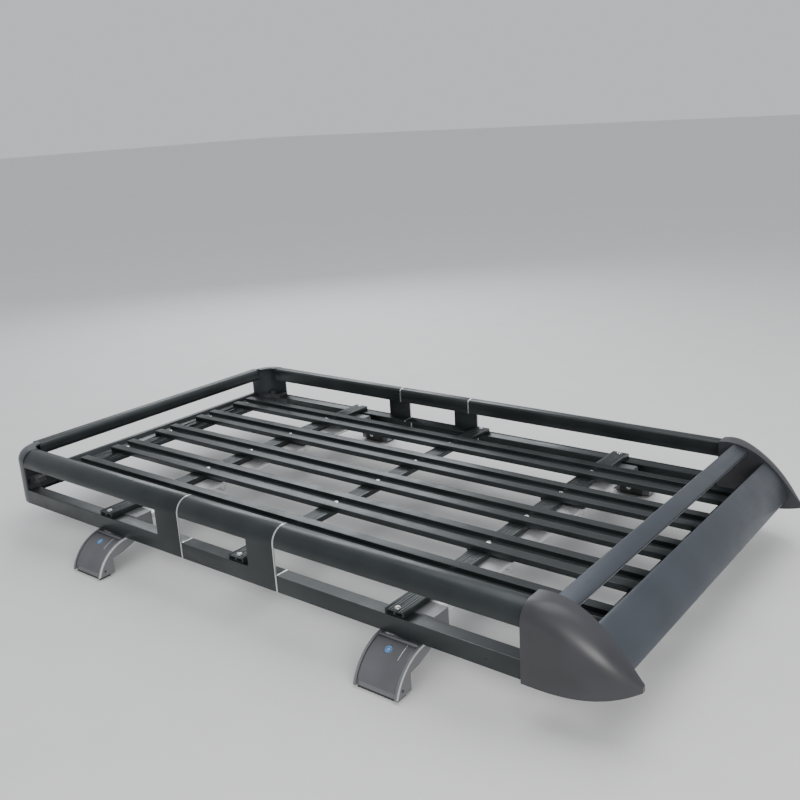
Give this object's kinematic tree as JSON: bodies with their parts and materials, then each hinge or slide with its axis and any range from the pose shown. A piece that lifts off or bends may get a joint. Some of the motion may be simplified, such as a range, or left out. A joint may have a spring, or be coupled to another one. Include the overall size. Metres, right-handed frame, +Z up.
{
  "type": "roof cargo basket",
  "caption": "Low-walled aluminium roof cargo basket with lengthwise slats, a front wind fairing and load bars on clamping tower feet.",
  "frame": {"origin": "middle of the footprint, on the plane that the four foot pads rest on", "axes": "+X towards the vehicle's front (the fairing end), +Y towards its left, +Z up"},
  "size_m": [1.8, 1.1572, 0.2325],
  "materials": {
    "rail_black": "satin black anodised extrusion",
    "board_black": "satin anodised, slightly blue",
    "corner_black": "satin",
    "cap_black": "satin moulded",
    "bar_silver": "brushed anodised",
    "foot_frame_grey": "satin cast",
    "foot_cover_grey": "satin moulded",
    "clamp_black": "matte",
    "lock_blue": "gloss",
    "zinc_steel": "bright zinc",
    "black_rubber": "matte"
  },
  "bodies": {
    "basket": {"bar_strips": "black_rubber", "clamp_nuts": "zinc_steel", "clamp_plates": "rail_black", "clamp_ubolts": "zinc_steel", "corner_bracket_left": "cap_black", "corner_bracket_right": "cap_black", "cover_pins": "zinc_steel", "cross_member_front": "rail_black", "cross_member_middle": "rail_black", "cross_member_rear": "rail_black", "end_screws": "zinc_steel", "foot_front_left_body": "foot_frame_grey", "foot_front_left_pad": "black_rubber", "foot_front_right_body": "foot_frame_grey", "foot_front_right_pad": "black_rubber", "foot_rear_left_body": "foot_frame_grey", "foot_rear_left_pad": "black_rubber", "foot_rear_right_body": "foot_frame_grey", "foot_rear_right_pad": "black_rubber", "front_cap_left": "cap_black", "front_cap_right": "cap_black", "front_fairing_board": "board_black", "front_lower_rail": "rail_black", "front_upper_board": "board_black", "load_bar_front": "bar_silver", "load_bar_rear": "bar_silver", "rear_corner_left": "corner_black", "rear_corner_right": "corner_black", "rear_lower_rail": "rail_black", "rear_upper_tube": "rail_black", "side_rail_left_front": "rail_black", "side_rail_left_middle": "rail_black", "side_rail_left_rear": "rail_black", "side_rail_right_front": "rail_black", "side_rail_right_middle": "rail_black", "side_rail_right_rear": "rail_black", "slat_1": "rail_black", "slat_2": "rail_black", "slat_3": "rail_black", "slat_4": "rail_black", "slat_5": "rail_black", "slat_screws": "zinc_steel", "splice_sleeves": "rail_black"},
    "foot_rear_right_cover": {"foot_rear_right_cover": "foot_cover_grey"},
    "foot_rear_right_lock": {"foot_rear_right_lock": "lock_blue"},
    "foot_rear_right_jaw": {"foot_rear_right_jaw": "clamp_black"},
    "foot_rear_right_bolt": {"foot_rear_right_bolt": "zinc_steel"},
    "foot_rear_left_cover": {"foot_rear_left_cover": "foot_cover_grey"},
    "foot_rear_left_lock": {"foot_rear_left_lock": "lock_blue"},
    "foot_rear_left_jaw": {"foot_rear_left_jaw": "clamp_black"},
    "foot_rear_left_bolt": {"foot_rear_left_bolt": "zinc_steel"},
    "foot_front_right_cover": {"foot_front_right_cover": "foot_cover_grey"},
    "foot_front_right_lock": {"foot_front_right_lock": "lock_blue"},
    "foot_front_right_jaw": {"foot_front_right_jaw": "clamp_black"},
    "foot_front_right_bolt": {"foot_front_right_bolt": "zinc_steel"},
    "foot_front_left_cover": {"foot_front_left_cover": "foot_cover_grey"},
    "foot_front_left_lock": {"foot_front_left_lock": "lock_blue"},
    "foot_front_left_jaw": {"foot_front_left_jaw": "clamp_black"},
    "foot_front_left_bolt": {"foot_front_left_bolt": "zinc_steel"}
  },
  "joints": [
    {"name": "foot_rear_right_cover_hinge", "type": "hinge", "parent": "basket", "child": "foot_rear_right_cover", "pos_m": [-0.467, -0.49729, 0.07609], "axis": [-1, 0, 0], "range_deg": [0, 60]},
    {"name": "foot_rear_right_lock_turn", "type": "hinge", "parent": "foot_rear_right_cover", "child": "foot_rear_right_lock", "pos_m": [-0.471, -0.52384, 0.06788], "axis": [0, -0.4384, 0.8988], "range_deg": [0, 90]},
    {"name": "foot_rear_right_jaw_slide", "type": "slide", "parent": "basket", "child": "foot_rear_right_jaw", "axis": [0, 1, 0], "range_m": [0, 0.006]},
    {"name": "foot_rear_right_bolt_turn", "type": "hinge", "parent": "foot_rear_right_jaw", "child": "foot_rear_right_bolt", "pos_m": [-0.467, -0.5234, 0.027], "axis": [0, 1, 0], "range_deg": [0, 1729]},
    {"name": "foot_rear_left_cover_hinge", "type": "hinge", "parent": "basket", "child": "foot_rear_left_cover", "pos_m": [-0.467, 0.49729, 0.07609], "axis": [1, 0, 0], "range_deg": [0, 60]},
    {"name": "foot_rear_left_lock_turn", "type": "hinge", "parent": "foot_rear_left_cover", "child": "foot_rear_left_lock", "pos_m": [-0.471, 0.52384, 0.06788], "axis": [0, 0.4384, 0.8988], "range_deg": [0, 90]},
    {"name": "foot_rear_left_jaw_slide", "type": "slide", "parent": "basket", "child": "foot_rear_left_jaw", "axis": [0, -1, 0], "range_m": [0, 0.006]},
    {"name": "foot_rear_left_bolt_turn", "type": "hinge", "parent": "foot_rear_left_jaw", "child": "foot_rear_left_bolt", "pos_m": [-0.467, 0.5234, 0.027], "axis": [0, -1, 0], "range_deg": [0, 1729]},
    {"name": "foot_front_right_cover_hinge", "type": "hinge", "parent": "basket", "child": "foot_front_right_cover", "pos_m": [0.435, -0.49729, 0.07609], "axis": [-1, 0, 0], "range_deg": [0, 60]},
    {"name": "foot_front_right_lock_turn", "type": "hinge", "parent": "foot_front_right_cover", "child": "foot_front_right_lock", "pos_m": [0.431, -0.52384, 0.06788], "axis": [0, -0.4384, 0.8988], "range_deg": [0, 90]},
    {"name": "foot_front_right_jaw_slide", "type": "slide", "parent": "basket", "child": "foot_front_right_jaw", "axis": [0, 1, 0], "range_m": [0, 0.006]},
    {"name": "foot_front_right_bolt_turn", "type": "hinge", "parent": "foot_front_right_jaw", "child": "foot_front_right_bolt", "pos_m": [0.435, -0.5234, 0.027], "axis": [0, 1, 0], "range_deg": [0, 1729]},
    {"name": "foot_front_left_cover_hinge", "type": "hinge", "parent": "basket", "child": "foot_front_left_cover", "pos_m": [0.435, 0.49729, 0.07609], "axis": [1, 0, 0], "range_deg": [0, 60]},
    {"name": "foot_front_left_lock_turn", "type": "hinge", "parent": "foot_front_left_cover", "child": "foot_front_left_lock", "pos_m": [0.431, 0.52384, 0.06788], "axis": [0, 0.4384, 0.8988], "range_deg": [0, 90]},
    {"name": "foot_front_left_jaw_slide", "type": "slide", "parent": "basket", "child": "foot_front_left_jaw", "axis": [0, -1, 0], "range_m": [0, 0.006]},
    {"name": "foot_front_left_bolt_turn", "type": "hinge", "parent": "foot_front_left_jaw", "child": "foot_front_left_bolt", "pos_m": [0.435, 0.5234, 0.027], "axis": [0, -1, 0], "range_deg": [0, 1729]}
  ],
  "couplings": [
    {"joint": "foot_rear_right_bolt_turn", "follows": "foot_rear_right_jaw_slide", "rad_per_m": 5026.5},
    {"joint": "foot_rear_left_bolt_turn", "follows": "foot_rear_left_jaw_slide", "rad_per_m": 5026.5},
    {"joint": "foot_front_right_bolt_turn", "follows": "foot_front_right_jaw_slide", "rad_per_m": 5026.5},
    {"joint": "foot_front_left_bolt_turn", "follows": "foot_front_left_jaw_slide", "rad_per_m": 5026.5}
  ]
}
